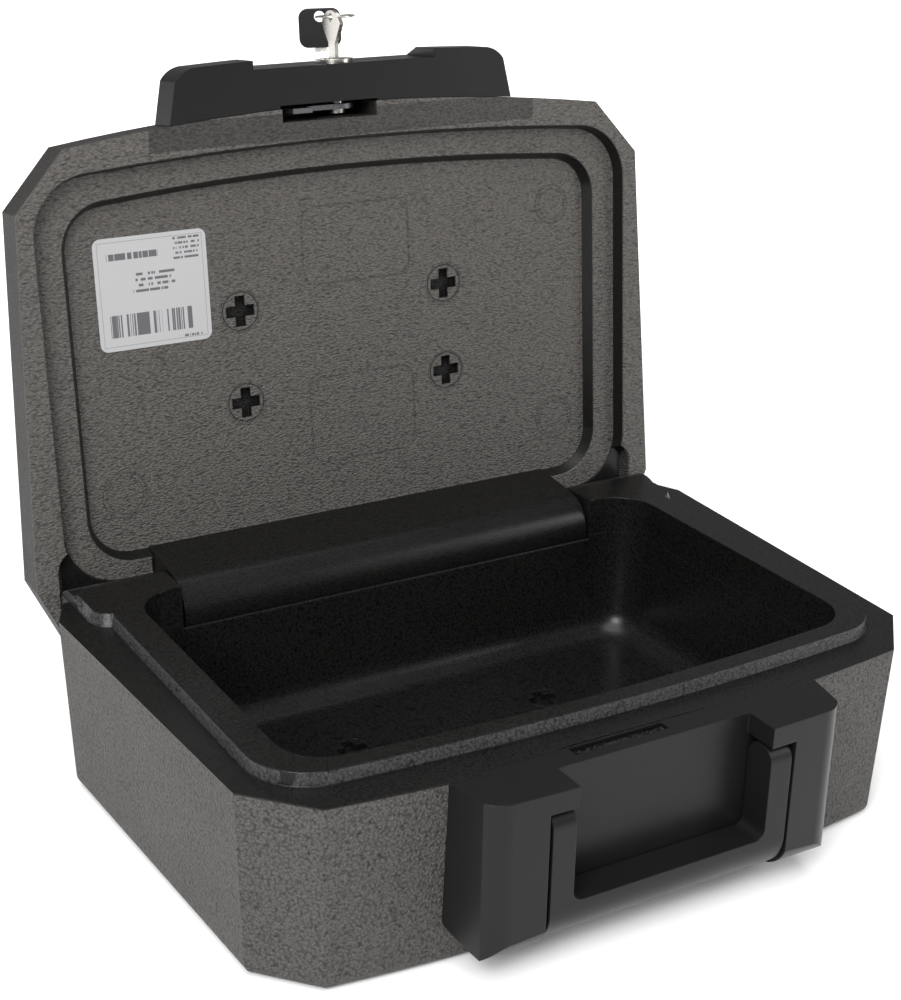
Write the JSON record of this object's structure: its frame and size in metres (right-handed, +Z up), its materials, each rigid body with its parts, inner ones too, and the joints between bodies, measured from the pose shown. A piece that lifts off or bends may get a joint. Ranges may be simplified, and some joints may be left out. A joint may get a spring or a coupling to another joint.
{
  "type": "fireproof document box",
  "caption": "Fire-resistant document box with an open hinged lid, key lock with rotating hook, front carry handle in a moulded housing, and insulated plastic shells.",
  "frame": {"origin": "middle of the flat underside of the base, on the left-right centre line", "axes": "+X to the right seen from the front, +Y to the rear (hinge side), +Z up; the handle is on the -Y side"},
  "size_m": [0.364, 0.3554, 0.3532],
  "materials": {
    "shell_plastic": "pebble-grained charcoal moulding",
    "black_plastic": "satin black",
    "insulation": "raw fill",
    "steel": "zinc plated",
    "lock_metal": "satin chrome",
    "key_metal": "nickel plated",
    "label": "printed silver-grey label, no real text"
  },
  "bodies": {
    "base": {"base_shell": "shell_plastic", "base_insulation": "insulation", "base_fill_plug_1": "black_plastic", "base_fill_plug_2": "black_plastic", "base_fill_plug_3": "black_plastic", "base_fill_plug_4": "black_plastic", "handle_housing": "black_plastic", "housing_screws": "steel", "strike_plate": "steel", "hinge_pin_left": "steel", "hinge_pin_right": "steel"},
    "handle": {"carry_handle": "black_plastic", "handle_pins": "steel"},
    "lid": {"lid_shell": "shell_plastic", "lid_insulation": "insulation", "lid_fill_plug_1": "black_plastic", "lid_fill_plug_2": "black_plastic", "lid_fill_plug_3": "black_plastic", "lid_fill_plug_4": "black_plastic", "rating_label": "label", "lock_cover": "black_plastic", "lock_body": "lock_metal", "lock_nut": "steel"},
    "lock_core": {"lock_plug": "lock_metal", "latch_hook": "steel", "hook_screw": "steel"},
    "key": {"key": "key_metal"},
    "ring": {"key_ring": "key_metal"},
    "spare_key": {"spare_key_head": "black_plastic", "spare_key_blade": "key_metal"}
  },
  "joints": [
    {"name": "lid_hinge", "type": "hinge", "parent": "base", "child": "lid", "pos_m": [0, 0.1082, 0.0776], "axis": [1, 0, 0], "range_deg": [0, 95.4]},
    {"name": "handle_pivot", "type": "hinge", "parent": "base", "child": "handle", "pos_m": [0, -0.1426, 0.0718], "axis": [-1, 0, 0], "range_deg": [0, 90]},
    {"name": "key_turn", "type": "hinge", "parent": "lid", "child": "lock_core", "pos_m": [0.001, 0.15983, 0.32203], "axis": [0, 0.0941, 0.9956], "range_deg": [0, 90]},
    {"name": "key_slide", "type": "slide", "parent": "lock_core", "child": "key", "axis": [0, 0.0941, 0.9956], "range_m": [0, 0.02]},
    {"name": "ring_swing", "type": "hinge", "parent": "key", "child": "ring", "pos_m": [0.001, 0.16246, 0.3498], "axis": [0.8064, -0.5887, 0.0557], "range_deg": [-10, 30]},
    {"name": "spare_swing", "type": "hinge", "parent": "ring", "child": "spare_key", "pos_m": [0.002, 0.17839, 0.3483], "axis": [-0.8838, -0.4658, 0.044], "range_deg": [-10, 10]}
  ]
}
